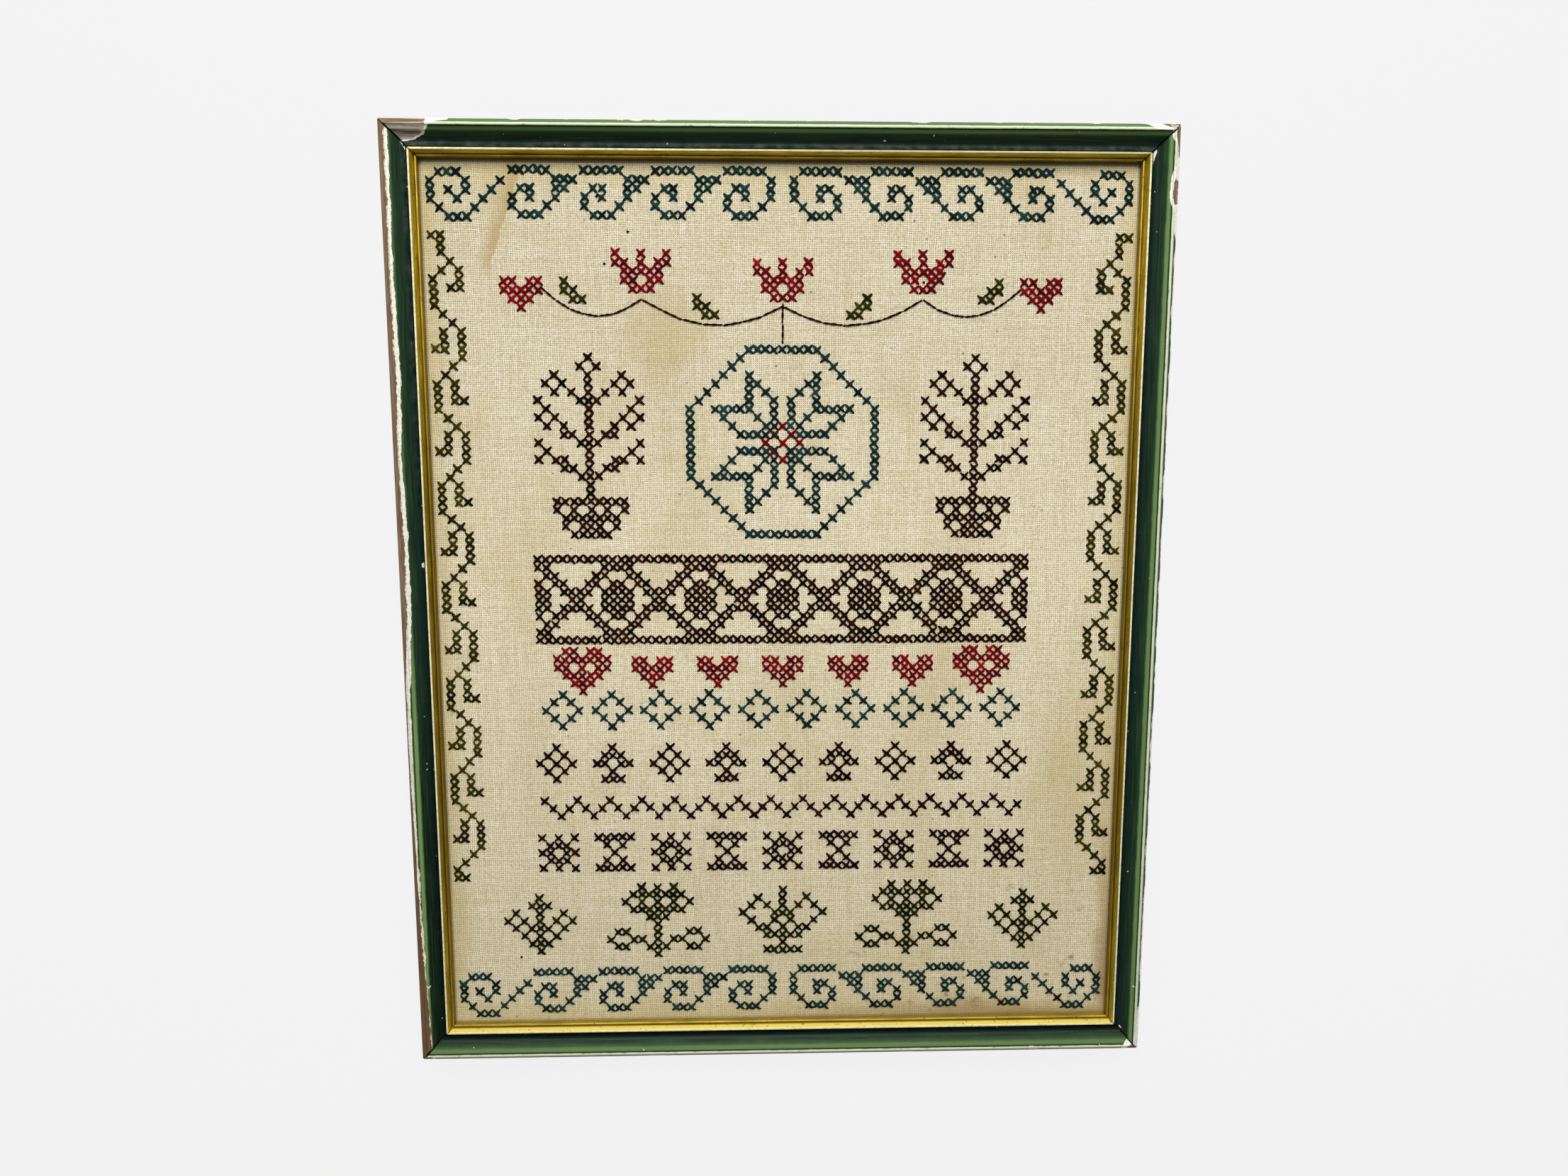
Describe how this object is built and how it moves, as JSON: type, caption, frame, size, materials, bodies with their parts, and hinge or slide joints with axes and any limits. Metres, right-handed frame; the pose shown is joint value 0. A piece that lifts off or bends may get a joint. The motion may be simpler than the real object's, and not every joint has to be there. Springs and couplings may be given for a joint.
{
  "type": "framed cross stitch sampler with mitred wooden frame",
  "caption": "Stretched plain-weave linen worked in cross stitch, held flat in a mitred green and gilt wooden moulding frame.",
  "frame": {"origin": "middle of the bounding box's bottom face: the sampler lies on its back, face up, on the surface", "axes": "+X to the picture's right, +Y to the picture's top, +Z out of the picture's face"},
  "size_m": [0.291, 0.362, 0.0156],
  "materials": {
    "linen_cloth": "unbleached plain-weave linen with cross stitch in cotton or wool thread",
    "green_paint": "softwood moulding with gesso and satin dark green paint, worn at the edges",
    "old_gilding": "wood slip with aged gilding and a cream painted fillet",
    "backing_wood": "bare thin wooden board"
  },
  "bodies": {
    "root": {"linen": "linen_cloth", "rail_top": "green_paint", "rail_bottom": "green_paint", "rail_left": "green_paint", "rail_right": "green_paint", "slip_top": "old_gilding", "slip_bottom": "old_gilding", "slip_left": "old_gilding", "slip_right": "old_gilding", "backing_board": "backing_wood"}
  },
  "joints": []
}
